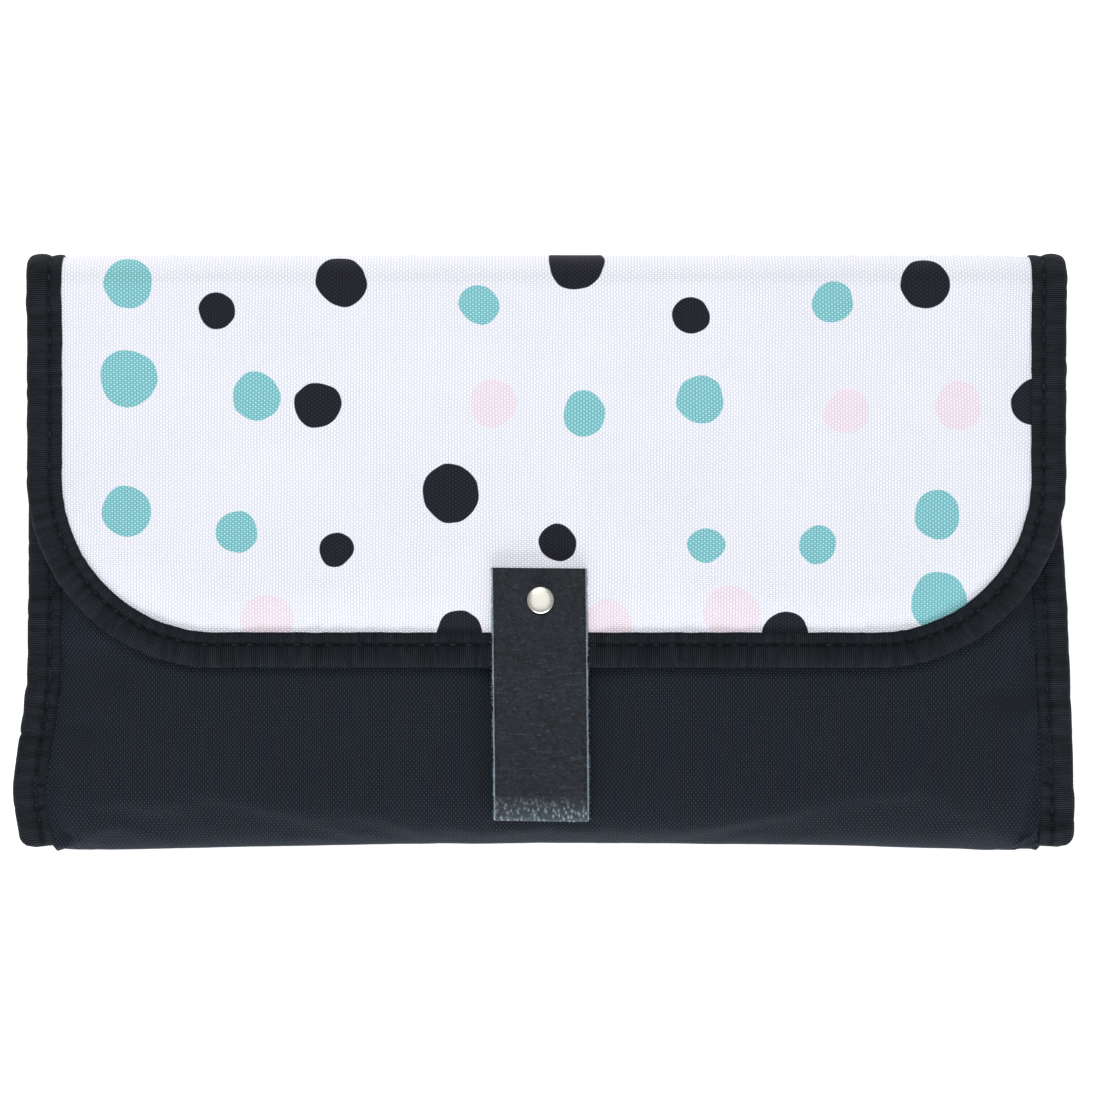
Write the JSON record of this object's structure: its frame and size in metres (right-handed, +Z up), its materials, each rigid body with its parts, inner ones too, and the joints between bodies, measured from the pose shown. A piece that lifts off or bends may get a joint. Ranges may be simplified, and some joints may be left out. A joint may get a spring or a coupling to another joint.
{
  "type": "changing pad",
  "caption": "Padded changing pad that folds into a clutch, with a front pouch, a bound print flap and a riveted leather pull tab.",
  "frame": {"origin": "bottom centre of the folded pad's bounding box, on the table under the base panel", "axes": "+X across the pad, +Y along the front towards the flap's fold, +Z up through the front"},
  "size_m": [0.3106, 0.1753, 0.031],
  "materials": {
    "woven_black": "matt plain-woven polyester",
    "printed_fabric": null,
    "lining": "smooth thin lining",
    "edge_tape": "ribbed tape, matt",
    "wipe_clean": "coated wipe-clean sheet, satin",
    "foam": "soft foam",
    "tab_leather": "pebbled, satin, raw cut edges",
    "nickel": "polished nickel",
    "magnet": "nickel-plated magnet"
  },
  "bodies": {
    "mat_base": {"base_cover": "woven_black", "base_foam": "foam", "base_wipe_sheet": "wipe_clean", "base_binding": "edge_tape"},
    "mat_middle": {"middle_cover": "woven_black", "middle_foam": "foam", "middle_wipe_sheet": "wipe_clean", "middle_binding_left": "edge_tape", "middle_binding_right": "edge_tape"},
    "pouch": {"back_lining": "lining", "back_padding": "foam", "back_outer": "woven_black", "front_lining": "lining", "front_padding": "foam", "front_outer": "woven_black", "pouch_binding_left": "edge_tape", "pouch_binding_right": "edge_tape", "mouth_binding": "edge_tape", "pouch_magnet": "magnet", "magnet_patch": "lining"},
    "flap": {"flap_outer": "printed_fabric", "flap_padding": "foam", "flap_lining": "lining", "flap_binding": "edge_tape", "rivet_cap": "nickel", "rivet_base": "nickel", "tab_front_end": "tab_leather", "tab_back_end": "tab_leather"},
    "tab": {"tab_loop": "tab_leather", "tab_magnet": "magnet"}
  },
  "joints": [
    {"name": "mat_unfold", "type": "hinge", "parent": "mat_base", "child": "mat_middle", "pos_m": [0, 0.0845, 0.00525], "axis": [-1, 0, 0], "range_deg": [0, 180]},
    {"name": "pouch_unfold", "type": "hinge", "parent": "mat_middle", "child": "pouch", "pos_m": [0, -0.08775, 0.01075], "axis": [-1, 0, 0], "range_deg": [-180, 0]},
    {"name": "flap_open", "type": "hinge", "parent": "pouch", "child": "flap", "pos_m": [0, 0.08785, 0.01955], "axis": [-1, 0, 0], "range_deg": [0, 175]},
    {"name": "tab_lift", "type": "hinge", "parent": "flap", "child": "tab", "pos_m": [-0.0013, -0.0347, 0.0294], "axis": [-1, 0, 0], "range_deg": [0, 70]}
  ],
  "couplings": [
    {"joint": "pouch_unfold", "follows": "mat_unfold", "ratio": -1}
  ]
}
